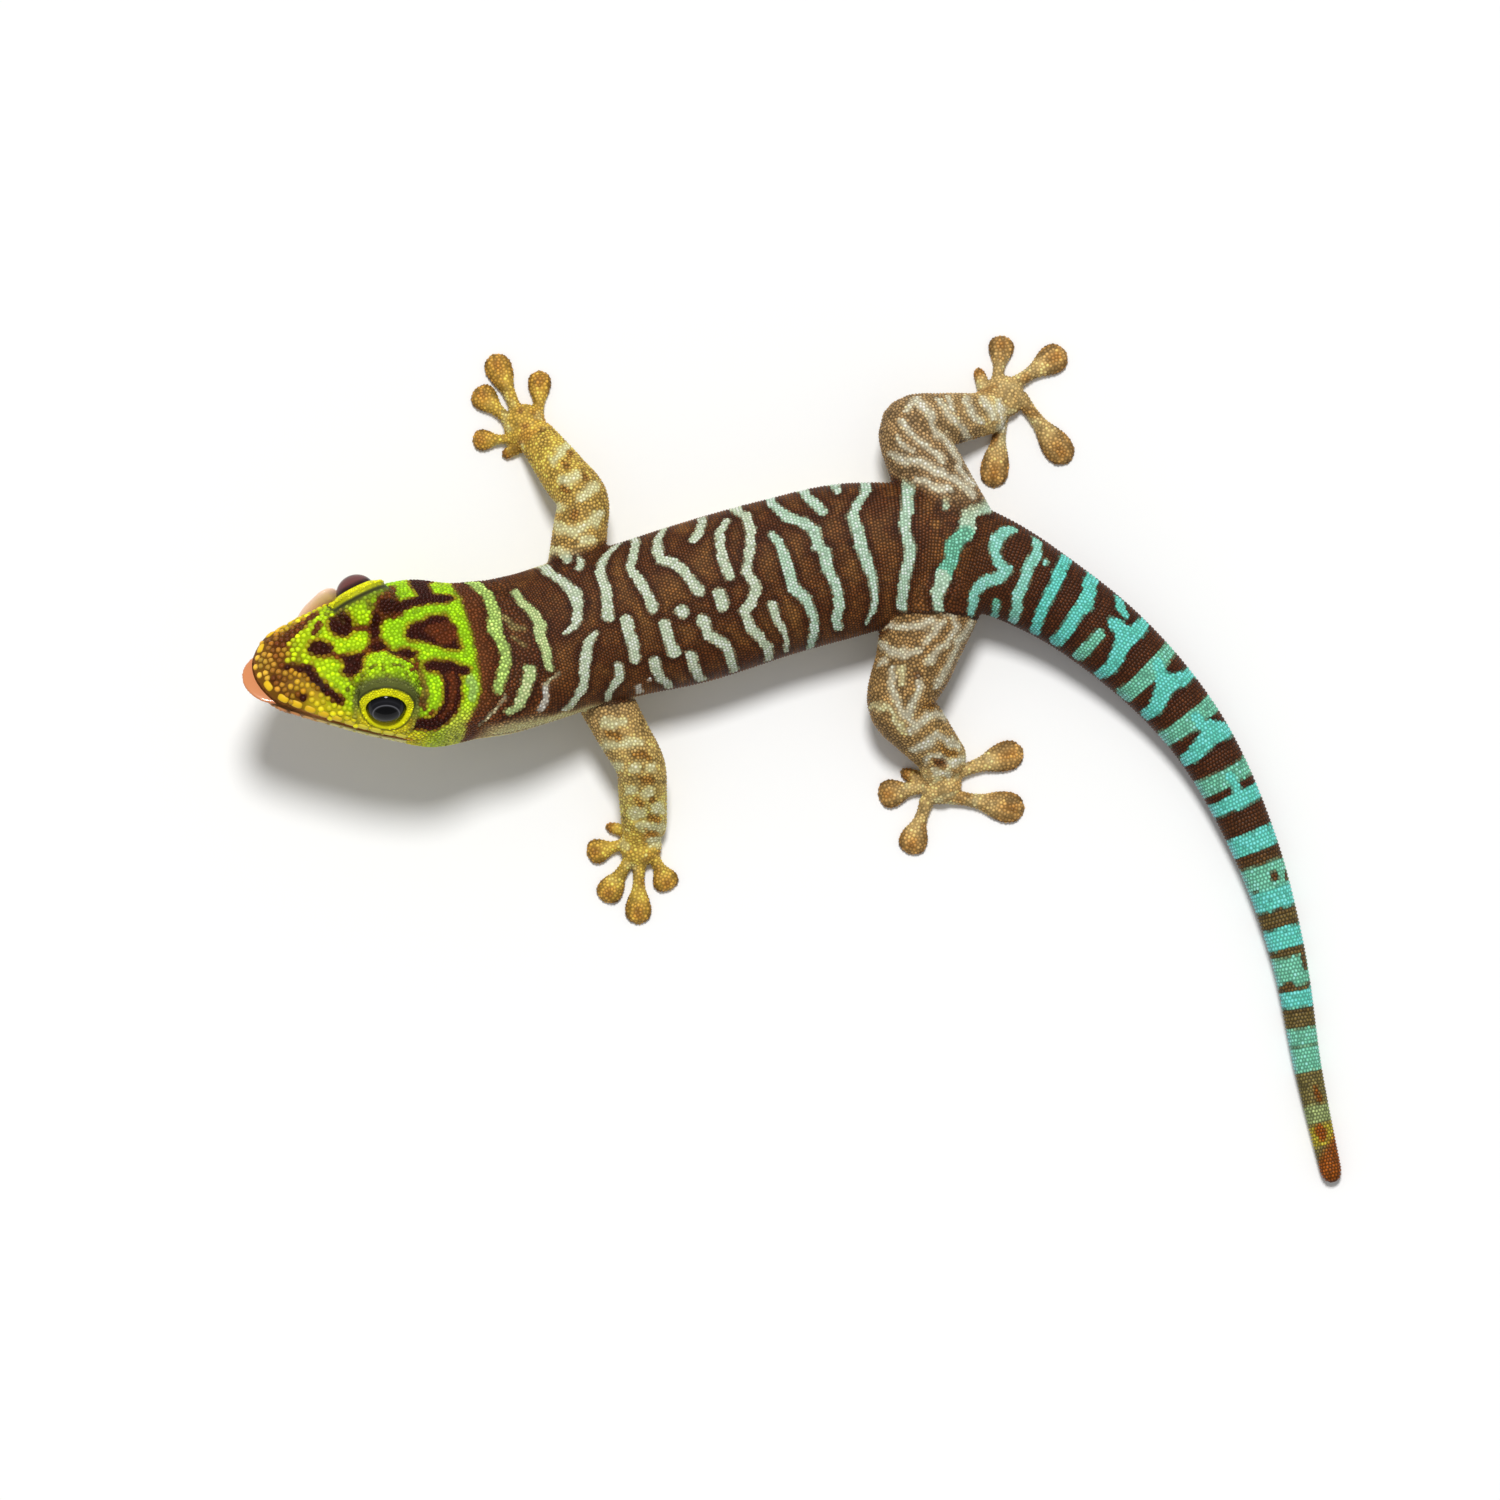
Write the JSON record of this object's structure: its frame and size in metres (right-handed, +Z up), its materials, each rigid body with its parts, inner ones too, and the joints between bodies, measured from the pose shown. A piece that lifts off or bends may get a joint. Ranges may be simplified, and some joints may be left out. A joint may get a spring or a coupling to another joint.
{
  "type": "day gecko figure",
  "caption": "Life-size still model of a young day gecko, body in a curve and head raised, its tongue out towards one eye.",
  "frame": {"origin": "on the floor under the middle of the animal's bounding box", "axes": "+X towards the outer bend of the tail with the head at -X, +Y towards the side the animal's right legs are on, +Z up from the floor"},
  "size_m": [0.0881, 0.0682, 0.0167],
  "materials": {
    "head": "fine bead-like scales, satin",
    "lower_jaw": "fine bead-like scales, satin",
    "tongue": "wet",
    "eye": "polished",
    "trunk": "fine granular scales, satin",
    "tail": "small scales in rings, satin",
    "leg": "fine granular scales, satin",
    "foot": "fine scales, wide toe pads"
  },
  "bodies": {
    "root": {"head": "head", "lower_jaw": "lower_jaw", "tongue": "tongue", "eye_left": "eye", "eye_right": "eye", "neck": "trunk", "torso": "trunk", "tail_base": "tail", "tail_middle": "tail", "tail_tip": "tail", "front_left_upper": "leg", "front_left_lower": "leg", "front_left_foot": "foot", "front_right_upper": "leg", "front_right_lower": "leg", "front_right_foot": "foot", "hind_left_upper": "leg", "hind_left_lower": "leg", "hind_left_foot": "foot", "hind_right_upper": "leg", "hind_right_lower": "leg", "hind_right_foot": "foot"}
  },
  "joints": []
}
